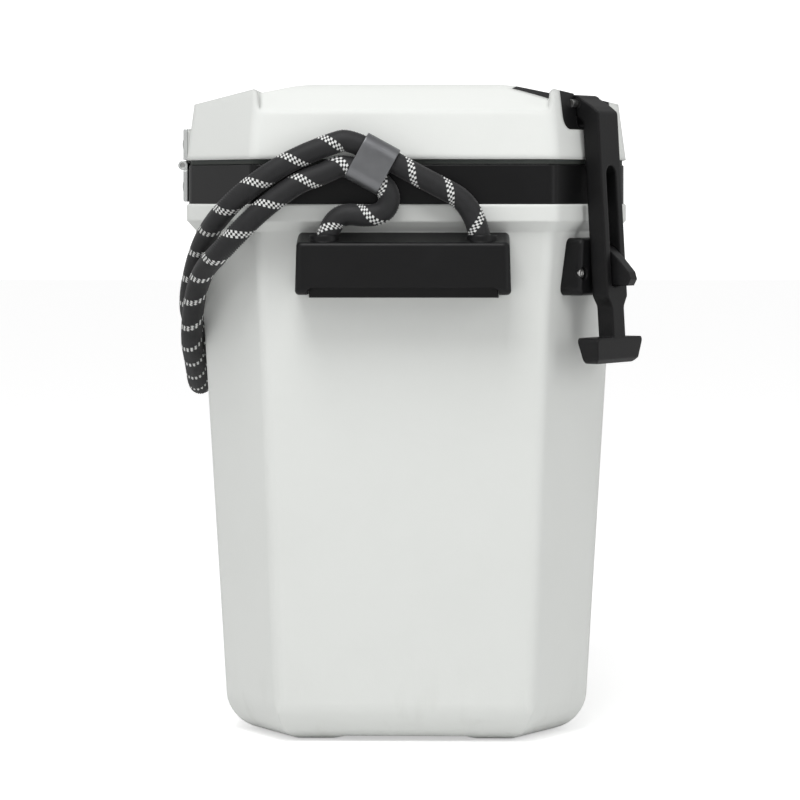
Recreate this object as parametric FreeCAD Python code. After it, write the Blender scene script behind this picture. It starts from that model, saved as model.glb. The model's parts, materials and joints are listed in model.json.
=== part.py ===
"""Insulated cooler chest: drafted tub with a foam core, black collar, hinged lid held by two
rubber T-latches, a carrying bracket at each end and a doubled shoulder rope behind it.

X runs along the length, -Y is the front with the latches, +Z is up, millimetres.
The origin is under the middle of the chest, on the surface that it stands on.
"""
import FreeCAD, Part
import math
import os

Vector = FreeCAD.Vector

# ---- overall sizes ----
LENGTH = 440.0            # over the lid's lower edge, along X
DEPTH = 312.8             # over the lid's lower edge, along Y
CHAMFER_DEPTH = 51.4      # how far each corner chamfer runs along Y
CHAMFER_TURN = 30.0       # degrees between a corner chamfer and the front face
LIP_TOP = 375.0           # top of the tub's lip, where the collar starts
COLLAR_TOP = 402.5
LID_BOTTOM = 406.0
LID_TOP = 458.8

# ---- tub ----
LIP_BOTTOM = 363.0
NECK_TOP = 356.0
NECK_INSET = 6.4          # the wall's setback under the lip
SHOULDER_Z = 307.0        # the wall turns a little steeper here
SHOULDER_INSET = 11.2
WALL_DRAFT = 3.4          # degrees
END_CREASE_R = 10.0
FRONT_CREASE_R = 20.0
BASE_R = 30.0
SHELL_WALL = 4.0
LIP_R = 1.5
LIP_STEP = 0.1            # the lip stands this far out over the flare below it
CHANNEL_DEPTH = 3.0       # channels under the base leave four moulded feet
CHANNEL_HALF_Y = 42.0
CHANNEL_HALF_X = 70.0
CHANNEL_SLOPE = 10.0
SEAT_GAP = 0.2            # between the fixed pieces of the insulation

# ---- inner liner ----
CAVITY_INSET = 45.0       # from the lid's outline to the cavity, at the top
CAVITY_FLOOR = 46.0
CAVITY_DRAFT = 3.0
CAVITY_BASE_R = 20.0
CAVITY_CREASE_R = 22.0
LINER_WALL = 3.0
FLANGE_Z = 391.0
FLANGE_INSET = 12.0

# ---- collar ----
COLLAR_INSET = 1.6
COLLAR_WALL = 6.0
COLLAR_RING = 8.0

# ---- lid ----
LID_LEAN = 7.5            # degrees
EAVE_Z = 439.5
EAVE_END_INSET = 4.4
PLATEAU_SETBACK_X = 42.0  # from the lid's lower edge to the flat top
PLATEAU_SETBACK_Y = 85.4
PLATEAU_R_X = 50.0        # the roof's slopes turn into the flat top with these radii
PLATEAU_R_Y = 100.0
ROOF_OVER = 1.6           # the roof's slope starts this far outside the lower edge, front and back
LID_WALL = 4.0
PAD_LONG_X = 97.0         # from the lid's lower edge to the pad's inner sides
PAD_LONG_Y = 58.4
PAD_HEIGHT = 455.0
PAD_SLOPE = 10.6          # degrees
PAD_R = 3.0
PAD_RUN = 3.0             # how far the pad's inner side leans
PLUG_INSET = 48.0
PLUG_DEPTH = 8.0
PLUG_TAPER = 1.5
PAN_THICK = 3.0
SEAL_INSET = 2.6
SEAL_WIDTH = 11.0
SEAL_GAP = 0.15

# ---- hinge ----
HINGE_OUT = 3.6           # the pin's line behind the lid's lower edge
HINGE_Z = 402.5
HINGE_MARGIN = 12.97      # from the back chamfers to the hinge's ends
KNUCKLES = 9
KNUCKLE_R = 3.3
KNUCKLE_GAP = 0.4
PIN_R = 1.7
PIN_CLEAR = 0.05
LEAF_THICK = 3.0
LEAF_SET = 0.4            # the leaves' faces in front of the pin's line
LEAF_REACH = 22.0
LEAF_START = 4.0
PIN_RECESS = 1.5
HINGE_SCREW_R = 3.6
HINGE_SCREWS = (-0.424, -0.212, 0.0, 0.212, 0.424)   # shares of the hinge's length

# ---- latch: across, out and up, measured from the chamfer's middle on the lid's lower edge ----
STRAP_WIDTH = 28.0
STRAP_THICK = 12.0
STRAP_FRONT = 20.0        # outer face at the window's lower edge
STRAP_LEAN = 3.4          # degrees
STRAP_TOP = 441.0
WINDOW_WIDTH = 15.0
WINDOW_BOTTOM = 318.0
WINDOW_TOP = 402.0
BAR_HEIGHT = 7.0
NECK_WIDTH = 16.5
GRIP_TOP = 282.5
GRIP_BOTTOM = 264.5
GRIP_WIDTH = 67.0
GRIP_WIDTH_LOW = 58.0
GRIP_THICK = 16.6
PIVOT_OUT = -6.0
PIVOT_Z = 445.0
EYE_R = 6.0
BUSH_R = 4.0
BUSH_BORE_R = 3.05
LATCH_PIN_R = 3.0
MOUNT_WIDTH = 70.0
MOUNT_BOTTOM = 427.0
MOUNT_BACK = -44.0
MOUNT_GAP = 0.2
SLOT_CLEAR = 1.2
SLOT_BACK = -20.0
SLOT_LOW = 428.5
MOUNT_R = 9.0
PIN_GRIP = 7.0
MOUNT_SCREW_U = 8.0
MOUNT_SCREW_Z = 438.0
MOUNT_SCREW_LONG = 27.0

# ---- keeper ----
KEEPER_TOP = 351.5
KEEPER_BOTTOM = 311.5
KEEPER_FACE = 5.5
KEEPER_WIDTH_TOP = 48.0
KEEPER_WIDTH_LOW = 55.0
NOSE_WIDTH = 10.0
NOSE_REACH = 13.3         # past the strap's outer face
NOSE_TIP_Z = 323.0
NOSE_GAP = 0.4            # over the window's lower edge
KEEPER_SCREW_U = 21.5
KEEPER_SCREW_Z = 327.0
KEEPER_BORE_R = 4.75
KEEPER_HEAD_R = 4.0
SCREW_SHANK_R = 2.2
KEEPER_SEAT = 1.5

# ---- end handles ----
HANDLE_WIDTH = 145.5
HANDLE_FLARE = 1.2
HANDLE_PROUD = 28.0
HANDLE_TOP = 355.5
HANDLE_FRONT_TOP = 348.5
HANDLE_FRONT_BOTTOM = 318.0
CHEEK_BOTTOM = 313.0
CHEEK_WIDTH = 7.0
HANDLE_FRONT_WALL = 3.5
HANDLE_ROOF = 5.0
HANDLE_R = 4.5
HANDLE_EDGE_R = 3.2
RIM_TOP = 354.0
PLATE_GAP = 0.4
PLATE_THICK = 3.0
PLATE_BOTTOM = 310.5
PLATE_TOP = 344.5
ROPE_HOLE_Y = 54.0
ROPE_HOLE_R = 8.7
HANDLE_SCREW_Y = (-30.0, 0.0, 30.0)
HANDLE_SCREW_Z = 329.0

# ---- rope ----
ROPE_R = 7.75
ARC_SHARE = 0.45          # share of the shorter run that an arc takes
KNOT_R = 9.2
KNOT_HIGH = 14.0
CLIP_X = -231.9           # the clip's centre, in front of the end face
CLIP_Y = 22.5
CLIP_Z = 402.7
CLIP_TURN = 28.7          # degrees the clip's length rises towards the back
CLIP_LENGTH = 25.0
CLIP_WALL = 1.0
CLIP_PITCH = 15.9         # between the two strands
CLIP_GAP = 0.75
# Each strand from the knot under its bracket hole at the -X end to the middle of the back.
LOWER_STRAND = [
    (-228.6, 55.6, 333.0), (-228.6, 55.6, 370.5), (-231.9, 14.6, 365.0), (-231.9, 8.6, 386.0),
    (-231.9, 40.8, 403.6), (-231.9, 56.5, 395.6), (-231.9, 74.4, 389.7), (-231.9, 101.0, 369.5),
    (-225.0, 125.1, 344.9), (-181.3, 146.0, 324.8), (-131.9, 155.2, 282.0), (-80.0, 155.4, 260.5),
    (-27.0, 157.0, 240.6),
]
UPPER_STRAND = [
    (-228.6, -52.4, 333.0), (-228.6, -52.4, 372.0), (-231.9, -10.8, 393.5), (-231.9, 37.5, 420.0),
    (-231.9, 50.5, 416.6), (-231.9, 77.4, 405.7), (-231.9, 99.6, 392.0), (-225.1, 124.2, 372.1),
    (-177.2, 144.5, 347.1), (-132.4, 156.8, 306.0), (-80.0, 155.8, 286.0), (-27.0, 156.2, 267.4),
]

HALF_X = LENGTH / 2
HALF_Y = DEPTH / 2
END_HALF = HALF_Y - CHAMFER_DEPTH
TURN = math.radians(CHAMFER_TURN)
BACK_HALF = HALF_X - CHAMFER_DEPTH / math.tan(TURN)
HINGE_LENGTH = 2 * (BACK_HALF - HINGE_MARGIN)
HINGE_Y = HALF_Y + HINGE_OUT
LEAF_FACE_Y = HINGE_Y - LEAF_SET
CHAMFER_OUT = HALF_X * math.sin(TURN) + END_HALF * math.cos(TURN)
HAIR = 0.005              # keeps the crease tool's flats just off the walls
DRAFT = math.tan(math.radians(WALL_DRAFT))
LEAN = math.tan(math.radians(LID_LEAN))
CAVITY_SLOPE = math.tan(math.radians(CAVITY_DRAFT))
LEAF_HIGH = HINGE_Z - LEAF_START
LEAF_LOW = LEAF_HIGH - LEAF_REACH
LATCH_X = -HALF_X + (HALF_Y - END_HALF) / math.tan(TURN) / 2
LATCH_Y = -(HALF_Y + END_HALF) / 2
ROPE_X = HALF_X + ROPE_R + 0.85


# ---------------------------------------------------------------- outlines and solids
def octagon(inset, z):
    """Corners of the chamfered outline, moved inwards by inset, counter-clockwise from +X."""
    hx = HALF_X - inset
    hy = HALF_Y - inset
    he = END_HALF - inset * math.tan(math.radians(90 - CHAMFER_TURN) / 2)
    fx = hx - (hy - he) / math.tan(TURN)
    quarter = [(hx, he), (fx, hy)]
    half = quarter + [(-x, y) for x, y in reversed(quarter)]
    return [Vector(x, y, z) for x, y in half + [(-x, -y) for x, y in half]]


def rounded_wire(points, radii):
    """A closed wire through points with each corner rounded by its radius."""
    count = len(points)
    cuts = []
    for i, corner in enumerate(points):
        back = (points[i - 1] - corner).normalize()
        ahead = (points[(i + 1) % count] - corner).normalize()
        half = back.getAngle(ahead) / 2
        reach = radii[i] / math.tan(half)
        middle = (back + ahead).normalize() * (radii[i] / math.sin(half) - radii[i])
        cuts.append((corner + back * reach, corner + middle, corner + ahead * reach))
    edges = []
    for i, (start, middle, end) in enumerate(cuts):
        if radii[i] > 0:
            edges.append(Part.Arc(start, middle, end).toShape())
        following = cuts[(i + 1) % count][0]
        if end.distanceToPoint(following) > 1e-6:
            edges.append(Part.LineSegment(end, following).toShape())
    return Part.Wire(edges)


def rounded_prism(points, radii, height):
    """A rounded outline pushed along the vector height."""
    return Part.Face(rounded_wire(points, radii)).extrude(height)


def ring_radii(inset):
    """Crease radii of the octagon moved inwards by inset."""
    end = max(END_CREASE_R - inset, 2.0)
    front = max(FRONT_CREASE_R - inset, 4.0)
    return [end, front, front, end] * 2


def slab(inset, low, high):
    """A plate with the chest's plan outline, from z low to z high."""
    return rounded_prism(octagon(inset, low), ring_radii(inset), Vector(0, 0, high - low))


def filleted(solid, radius, test):
    """Rounds every edge that passes the test."""
    return solid.makeFillet(radius, [e for e in solid.Edges if test(e)])


def climbs(edge):
    """Whether an edge rises more than it runs."""
    way = edge.lastVertex().Point - edge.firstVertex().Point
    return abs(way.z) > way.Length * 0.6


def frustum(low, high, base_r=0.0, creases=None):
    """A drafted block with the chest's plan outline.

    low and high are (inset, z) of its two ends. The lowest edges get base_r, and the rising
    creases get (end, front) radii when creases gives them.
    """
    solid = None
    turn = 90 - CHAMFER_TURN
    walls = ((0, HALF_X), (turn, CHAMFER_OUT), (-turn, CHAMFER_OUT), (90, HALF_Y))
    for angle, out in walls:
        near, far = out - low[0], out - high[0]
        ends = [Vector(x, -LENGTH, z) for x, z in
                ((-near, low[1]), (near, low[1]), (far, high[1]), (-far, high[1]))]
        wall = rounded_prism(ends, [base_r, base_r, 0.0, 0.0], Vector(0, 2 * LENGTH, 0))
        wall.rotate(Vector(0, 0, 0), Vector(0, 0, 1), angle)
        solid = wall if solid is None else solid.common(wall)
    if creases:
        radii = [creases[0], creases[1], creases[1], creases[0]] * 2
        rings = [rounded_wire(octagon(inset - HAIR, z), radii) for inset, z in (low, high)]
        solid = solid.common(Part.makeLoft(rings, True, True))
    return one(solid)


def one(shape):
    """The single solid of a boolean result."""
    solids = shape.Solids
    assert len(solids) == 1, len(solids)
    return solids[0]


def tub_inset(z):
    """Setback of the tub's outer wall at height z."""
    if z < SHOULDER_Z:
        return SHOULDER_INSET + (SHOULDER_Z - z) * DRAFT
    share = (z - SHOULDER_Z) / (NECK_TOP - SHOULDER_Z)
    return SHOULDER_INSET + (NECK_INSET - SHOULDER_INSET) * share


def cavity_inset(z):
    """Setback of the cavity's wall at height z."""
    return CAVITY_INSET + (COLLAR_TOP - z) * CAVITY_SLOPE


def box_between(low, high):
    """A box from its lowest corner to its highest."""
    size = [b - a for a, b in zip(low, high)]
    return Part.makeBox(*size, Vector(*low))


def mirrored(shape):
    """The same piece at the other end of the chest."""
    return shape.mirror(Vector(0, 0, 0), Vector(1, 0, 0))


def prism_x(points, low_x, high_x):
    """A (y, z) outline pushed along X."""
    face = Part.Face(Part.makePolygon([Vector(low_x, y, z) for y, z in points + points[:1]]))
    return face.extrude(Vector(high_x - low_x, 0, 0))


def prism_y(points, low_y, high_y):
    """An (x, z) outline pushed along Y."""
    face = Part.Face(Part.makePolygon([Vector(x, low_y, z) for x, z in points + points[:1]]))
    return face.extrude(Vector(0, high_y - low_y, 0))


# ---------------------------------------------------------------- tub
def tub_outer():
    """The tub's outer skin as a filled solid: rounded base, drafted walls and the lip."""
    creases = (END_CREASE_R, FRONT_CREASE_R)
    walls = frustum((tub_inset(0.0), 0.0), (SHOULDER_INSET, SHOULDER_Z), BASE_R, creases)
    shoulder = frustum((SHOULDER_INSET, SHOULDER_Z), (NECK_INSET, NECK_TOP), 0.0, creases)
    flare = frustum((NECK_INSET, NECK_TOP), (LIP_STEP, LIP_BOTTOM), 0.0, creases)
    lip = filleted(slab(0.0, LIP_BOTTOM, LIP_TOP), LIP_R, lambda e: e.BoundBox.ZMin > LIP_TOP - 0.01)
    solid = walls.fuse([shoulder, flare, lip])
    for half, along_x in ((CHANNEL_HALF_Y, True), (CHANNEL_HALF_X, False)):
        edge = half + CHANNEL_SLOPE
        outline = [(-edge, -1.0), (-edge, 0.0), (-half, CHANNEL_DEPTH),
                   (half, CHANNEL_DEPTH), (edge, 0.0), (edge, -1.0)]
        channel = prism_x(outline, -HALF_X, HALF_X) if along_x else prism_y(outline, -HALF_Y, HALF_Y)
        solid = solid.cut(channel)
    return one(solid)


def tub_inside(wall, top):
    """Everything inside the tub's skin at a wall's depth, up to top."""
    low = wall + CHANNEL_DEPTH
    round_r = BASE_R - SHELL_WALL
    fill = frustum((tub_inset(low) + wall, low), (SHOULDER_INSET + wall, SHOULDER_Z), round_r)
    shoulder = frustum((SHOULDER_INSET + wall, SHOULDER_Z), (NECK_INSET + wall, NECK_TOP))
    return fill.fuse([shoulder, slab(NECK_INSET + wall, NECK_TOP, top)])


def body_shell(outer):
    """The moulded skin: the outer solid less everything inside the wall."""
    return one(outer.cut(tub_inside(SHELL_WALL, LIP_TOP + 1)))


def liner_block(grow, top):
    """The cavity's form as a filled solid, grown by grow and up to top."""
    low = CAVITY_FLOOR - grow
    creases = (CAVITY_CREASE_R + grow, CAVITY_CREASE_R + grow)
    ends = [(cavity_inset(z) - grow, z) for z in (low, top)]
    return frustum(*ends, CAVITY_BASE_R + grow, creases)


def body_liner():
    """The food-safe bucket with its rim flange."""
    top = COLLAR_TOP - COLLAR_RING
    flange = slab(FLANGE_INSET, FLANGE_Z, top)
    return one(liner_block(LINER_WALL, top).fuse(flange).cut(liner_block(0.0, top + 1)))


def body_foam():
    """Foam between skin and liner."""
    fill = tub_inside(SHELL_WALL + SEAT_GAP, FLANGE_Z - SEAT_GAP)
    return one(fill.cut(liner_block(LINER_WALL + SEAT_GAP, COLLAR_TOP)))


def collar(screws):
    """Black band on the lip, with a ring that closes the wall and a pad behind the hinge."""
    skirt = slab(COLLAR_INSET, LIP_TOP, COLLAR_TOP)
    skirt = filleted(skirt, 1.0, lambda e: e.BoundBox.ZMin > COLLAR_TOP - 0.01)
    bore = slab(COLLAR_INSET + COLLAR_WALL, LIP_TOP - 1, COLLAR_TOP - COLLAR_RING)
    half = HINGE_LENGTH / 2
    back = LEAF_FACE_Y - LEAF_THICK
    pad = box_between((-half, HALF_Y - COLLAR_INSET - 2, LEAF_LOW), (half, back, LEAF_HIGH))
    return one(skirt.fuse(pad).cut(bore).cut(liner_block(0.0, COLLAR_TOP + 1)).cut(screws))


# ---------------------------------------------------------------- lid
def roof(drop):
    """The hipped top and all below it, lowered by drop."""
    eave, top, low = EAVE_Z - drop, LID_TOP - drop, LID_BOTTOM - 2
    end = HALF_X - EAVE_END_INSET
    side = HALF_Y + ROOF_OVER
    plateau_x = HALF_X - PLATEAU_SETBACK_X
    plateau_y = HALF_Y - PLATEAU_SETBACK_Y
    ends = [Vector(x, -DEPTH, z) for x, z in ((-end, low), (-end, eave), (-plateau_x, top),
                                              (plateau_x, top), (end, eave), (end, low))]
    sides = [Vector(-LENGTH, y, z) for y, z in ((-side, low), (-side, eave), (-plateau_y, top),
                                                (plateau_y, top), (side, eave), (side, low))]
    ends = rounded_prism(ends, [0, 0, PLATEAU_R_X, PLATEAU_R_X, 0, 0], Vector(0, 2 * DEPTH, 0))
    sides = rounded_prism(sides, [0, 0, PLATEAU_R_Y, PLATEAU_R_Y, 0, 0], Vector(2 * LENGTH, 0, 0))
    hip = ends.common(sides)
    skirt = box_between((-HALF_X, -side, low), (HALF_X, side, eave))
    return hip.fuse(skirt)


def lean_block(inset, low):
    """The lid's leaning sides as a filled solid, moved inwards by inset."""
    top = LID_TOP + 2
    creases = (END_CREASE_R, FRONT_CREASE_R) if inset == 0 else None
    start = inset + (low - LID_BOTTOM) * LEAN
    return frustum((start, low), (start + (top - low) * LEAN, top), 0.0, creases)


def corner_pad(side):
    """A raised pad over one corner, front (side -1) or back (side 1), at the -X end."""
    far = HALF_Y + 10
    near = HALF_Y - PAD_LONG_Y
    crest = near + PAD_RUN
    drop = (far - crest) * math.tan(math.radians(PAD_SLOPE))
    outline = [(near, LID_BOTTOM + 20), (crest, PAD_HEIGHT),
               (far, PAD_HEIGHT - drop), (far, LID_BOTTOM + 20)]
    outline = [(side * y, z) for y, z in outline]
    inner = PAD_LONG_X - HALF_X
    block = prism_x(outline, -HALF_X - 5, inner)

    def on_top(edge):
        middle = edge.CenterOfMass
        lengthways = abs(middle.y) < crest + 0.1 and middle.z > PAD_HEIGHT - 0.1
        across = middle.x > inner - 0.01 and middle.z > LID_BOTTOM + 30 and not climbs(edge)
        return lengthways or across

    return filleted(block, PAD_R, on_top)


def lid_outer():
    """The lid's outer form as a filled solid: leaning sides, hipped roof and four corner pads."""
    sides = lean_block(0.0, LID_BOTTOM)
    pads = [corner_pad(-1), corner_pad(1)]
    pads += [mirrored(p) for p in pads]
    crown = roof(0.0).fuse(pads).common(sides)
    return one(crown.removeSplitter())


def latch_place(shape):
    """Moves a piece from the latch's own axes to the chamfer at the -X end."""
    across = Vector(-math.cos(TURN), math.sin(TURN), 0)
    out = Vector(-math.sin(TURN), -math.cos(TURN), 0)
    matrix = FreeCAD.Matrix(across.x, out.x, 0, LATCH_X, across.y, out.y, 0, LATCH_Y,
                            0, 0, 1, 0, 0, 0, 0, 1)
    return shape.transformed(matrix)


def mount_block(grow):
    """The latch mount's block, rounded at its lower corners, grown all round by grow."""
    half = MOUNT_WIDTH / 2 + grow
    low = MOUNT_BOTTOM - grow
    back = MOUNT_BACK - grow
    points = [Vector(-half, back, low), Vector(half, back, low), Vector(half, back, LID_TOP + 5),
              Vector(-half, back, LID_TOP + 5)]
    radii = [MOUNT_R + grow, MOUNT_R + grow, 0.0, 0.0]
    return rounded_prism(points, radii, Vector(0, 30 - back, 0))


def lid_shell(outer, leaf_screws):
    """The lid's skin: hollow below, with wells for the latch mounts and a pad behind the hinge."""
    wells = [latch_place(mount_block(MOUNT_GAP))]
    wells.append(mirrored(wells[0]))
    walls = [latch_place(mount_block(MOUNT_GAP + LID_WALL))]
    walls.append(mirrored(walls[0]))
    inside = lean_block(LID_WALL, LID_BOTTOM - 1).common(roof(LID_WALL)).cut(walls)
    half = HINGE_LENGTH / 2
    inner = HALF_Y - LID_WALL - 1.0
    back = LEAF_FACE_Y - LEAF_THICK
    low = HINGE_Z + LEAF_START
    pad = box_between((-half, inner, low), (half, back, low + LEAF_REACH))
    pad = filleted(pad, 1.2, lambda e: e.CenterOfMass.y > back - 0.01)
    return one(outer.fuse(pad).cut(inside).cut(wells).cut(leaf_screws))


def plug(extra, low, high):
    """The block under the lid that dips into the cavity, moved inwards by extra."""
    creases = (CAVITY_CREASE_R, CAVITY_CREASE_R)
    return frustum((PLUG_INSET + PLUG_TAPER + extra, low), (PLUG_INSET + extra, high), 0.0, creases)


def lid_liner():
    """The pan that closes the lid's underside, with its hollow plug."""
    pan = slab(LID_WALL + SEAT_GAP + PAN_THICK * LEAN, LID_BOTTOM, LID_BOTTOM + PAN_THICK)
    low = LID_BOTTOM - PLUG_DEPTH
    top = LID_BOTTOM + PAN_THICK
    return one(pan.fuse(plug(0.0, low, top)).cut(plug(PAN_THICK, low + PAN_THICK, top)))


def lid_foam():
    """Foam between the lid's skin and its pan."""
    wall = LID_WALL + SEAT_GAP
    low = LID_BOTTOM + PAN_THICK + SEAT_GAP
    walls = [latch_place(mount_block(MOUNT_GAP + wall))]
    walls.append(mirrored(walls[0]))
    fill = lean_block(wall, LID_BOTTOM).common(roof(wall)).cut(walls)
    fill = fill.cut(box_between((-HALF_X, -HALF_Y, LID_BOTTOM - 5), (HALF_X, HALF_Y, low)))
    dip = LID_BOTTOM - PLUG_DEPTH + PAN_THICK + SEAT_GAP
    return one(fill.fuse(plug(PAN_THICK + SEAT_GAP, dip, low)))


def lid_seal():
    """The soft gasket ring between lid and collar."""
    ring = slab(SEAL_INSET, COLLAR_TOP + SEAL_GAP, LID_BOTTOM)
    return one(ring.cut(slab(SEAL_INSET + SEAL_WIDTH, COLLAR_TOP - 1, LID_BOTTOM + 1)))


# ---------------------------------------------------------------- hinge
def knuckle_spans():
    """(low x, high x, which leaf) of each knuckle, the tub's leaf first and last."""
    pitch = HINGE_LENGTH / KNUCKLES
    start = -HINGE_LENGTH / 2
    gap = KNUCKLE_GAP / 2
    return [(start + i * pitch + gap, start + (i + 1) * pitch - gap, i % 2) for i in range(KNUCKLES)]


def hinge_leaf(which):
    """A leaf plate with its knuckles: 0 on the collar, 1 on the lid."""
    back = LEAF_FACE_Y - LEAF_THICK
    half = HINGE_LENGTH / 2
    if which:
        low, high = HINGE_Z + LEAF_START, HINGE_Z + LEAF_START + LEAF_REACH
        far = high
    else:
        low, high = LEAF_LOW, LEAF_HIGH
        far = low
    plate = box_between((-half, back, low), (half, LEAF_FACE_Y, high))
    outside = LEAF_FACE_Y - 0.01
    plate = filleted(plate, 1.3, lambda e: e.CenterOfMass.y > outside and abs(e.CenterOfMass.z - far) < 0.1)
    pieces = []
    for start, end, leaf in knuckle_spans():
        if leaf == which:
            centre = Vector(start, HINGE_Y, HINGE_Z)
            pieces.append(Part.makeCylinder(KNUCKLE_R, end - start, centre, Vector(1, 0, 0)))
            reach = sorted((HINGE_Z, low if which else high))
            pieces.append(box_between((start, back, reach[0]), (end, LEAF_FACE_Y, reach[1])))
    solid = plate.fuse(pieces)
    start = Vector(-half - 1, HINGE_Y, HINGE_Z)
    bore = Part.makeCylinder(PIN_R + PIN_CLEAR, 2 * half + 2, start, Vector(1, 0, 0))
    return one(solid.cut(bore).cut(hinge_screws(which)).removeSplitter())


def hinge_screws(which):
    """Pan-head screws through a leaf, as one compound."""
    z = HINGE_Z + LEAF_START + LEAF_REACH * 0.5 if which else (LEAF_LOW + LEAF_HIGH) / 2
    seats = [Vector(share * HINGE_LENGTH, LEAF_FACE_Y, z) for share in HINGE_SCREWS]
    screws = [round_screw(seat, Vector(0, 1, 0), HINGE_SCREW_R, 1.8, 8.0) for seat in seats]
    return Part.makeCompound(screws)


def round_screw(seat, way, head_r, head_high, shank):
    """A screw whose domed head stands on seat along way, with its shank behind."""
    head = Part.makeCylinder(head_r, head_high, seat, way)
    top = seat + way * head_high
    head = filleted(head, head_high * 0.6, lambda e: e.CenterOfMass.distanceToPoint(top) < 0.1)
    return head.fuse(Part.makeCylinder(SCREW_SHANK_R, shank, seat - way * shank, way)).removeSplitter()


def hinge_pin():
    """The pin, a little short of the knuckles at both ends."""
    half = HINGE_LENGTH / 2 - PIN_RECESS
    return Part.makeCylinder(PIN_R, 2 * half, Vector(-half, HINGE_Y, HINGE_Z), Vector(1, 0, 0))


# ---------------------------------------------------------------- latch
def strap_face(z):
    """How far out the strap's front face stands at height z."""
    return STRAP_FRONT - (z - WINDOW_BOTTOM) * math.tan(math.radians(STRAP_LEAN))


def block_u(width, outline):
    """An (out, z) outline pushed along the latch's width."""
    face = Part.Face(Part.makePolygon([Vector(-width / 2, o, z) for o, z in outline + outline[:1]]))
    return face.extrude(Vector(width, 0, 0))


def latch_strap():
    """The rubber latch: eye, strap with its window, neck and T-shaped grip."""
    neck_low = GRIP_TOP - 3
    bar_low = WINDOW_BOTTOM - BAR_HEIGHT
    corner = strap_face(STRAP_TOP)
    side = [(strap_face(neck_low), neck_low), (corner, STRAP_TOP - 2), (corner - 5, STRAP_TOP + 2),
            (PIVOT_OUT + 1.5, PIVOT_Z + EYE_R - 0.2), (PIVOT_OUT - 1.5, PIVOT_Z - EYE_R + 0.2),
            (corner - STRAP_THICK, STRAP_TOP - 9), (strap_face(neck_low) - STRAP_THICK, neck_low)]
    strap = block_u(STRAP_WIDTH, side)
    strap = filleted(strap, 4.0, lambda e: abs(e.CenterOfMass.z - STRAP_TOP) < 2.5 and e.CenterOfMass.y > 0
                     and abs(e.CenterOfMass.x) < 0.1)
    wide, narrow = STRAP_WIDTH / 2, NECK_WIDTH / 2
    eye = Part.makeCylinder(EYE_R, STRAP_WIDTH, Vector(-wide, PIVOT_OUT, PIVOT_Z), Vector(1, 0, 0))
    strap = strap.fuse(eye)
    front_view = [Vector(u, -20, z) for u, z in (
        (-wide, 500), (wide, 500), (wide, bar_low), (narrow, bar_low - 7),
        (narrow, 200), (-narrow, 200), (-narrow, bar_low - 7), (-wide, bar_low))]
    radii = [0, 0, 3.0, 6.0, 0, 0, 6.0, 3.0]
    strap = strap.common(rounded_prism(front_view, radii, Vector(0, 60, 0)))
    half = WINDOW_WIDTH / 2
    window = [Vector(x, -10, z) for x, z in ((-half, WINDOW_BOTTOM), (half, WINDOW_BOTTOM),
                                             (half, WINDOW_TOP), (-half, WINDOW_TOP))]
    strap = strap.cut(rounded_prism(window, [1.5, 1.5, half - 0.5, half - 0.5], Vector(0, 50, 0)))
    face = strap_face(GRIP_TOP)
    grip_side = [(face - GRIP_THICK + 0.6, GRIP_TOP), (face + 0.6, GRIP_TOP), (face - 1.2, GRIP_BOTTOM + 3),
                 (face - 4.0, GRIP_BOTTOM), (face - GRIP_THICK + 4.0, GRIP_BOTTOM)]
    grip = block_u(GRIP_WIDTH + 4, grip_side)
    top, low = GRIP_WIDTH / 2, GRIP_WIDTH_LOW / 2
    face_view = [Vector(u, -30, z) for u, z in (
        (-low, GRIP_BOTTOM), (low, GRIP_BOTTOM), (top, GRIP_TOP), (-top, GRIP_TOP))]
    grip = grip.common(rounded_prism(face_view, [6.0, 6.0, 3.5, 3.5], Vector(0, 80, 0)))
    bore = Part.makeCylinder(BUSH_R, STRAP_WIDTH + 2, Vector(-wide - 1, PIVOT_OUT, PIVOT_Z), Vector(1, 0, 0))
    return one(strap.fuse(grip).cut(bore).removeSplitter())


def latch_bush():
    """Hard sleeve in the strap's eye."""
    start = Vector(-STRAP_WIDTH / 2, PIVOT_OUT, PIVOT_Z)
    tube = Part.makeCylinder(BUSH_R, STRAP_WIDTH, start, Vector(1, 0, 0))
    return tube.cut(Part.makeCylinder(BUSH_BORE_R, STRAP_WIDTH, start, Vector(1, 0, 0)))


def latch_pin():
    """Pin through the eye, held in the mount's cheeks."""
    half = STRAP_WIDTH / 2 + PIN_GRIP
    return Part.makeCylinder(LATCH_PIN_R, 2 * half, Vector(-half, PIVOT_OUT, PIVOT_Z), Vector(1, 0, 0))


def latch_mount(outer):
    """The black insert in the lid's corner pad, with a slot for the strap's eye."""
    block = latch_place(mount_block(0.0)).common(outer)
    half = STRAP_WIDTH / 2 + SLOT_CLEAR
    slot = [Vector(-half, SLOT_BACK, SLOT_LOW), Vector(half, SLOT_BACK, SLOT_LOW),
            Vector(half, SLOT_BACK, LID_TOP + 5), Vector(-half, SLOT_BACK, LID_TOP + 5)]
    slot = rounded_prism(slot, [3.0, 3.0, 0.0, 0.0], Vector(0, 60, 0))
    return one(block.cut(latch_place(slot)).cut(latch_place(latch_pin())).cut(latch_place(mount_screws())))


def mount_screws():
    """Two screws in the slot's back wall, through the mount into the lid's skin."""
    seats = [Vector(u, SLOT_BACK, MOUNT_SCREW_Z) for u in (-MOUNT_SCREW_U, MOUNT_SCREW_U)]
    way = Vector(0, 1, 0)
    return Part.makeCompound([round_screw(s, way, KEEPER_HEAD_R, 2.4, MOUNT_SCREW_LONG) for s in seats])


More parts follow.
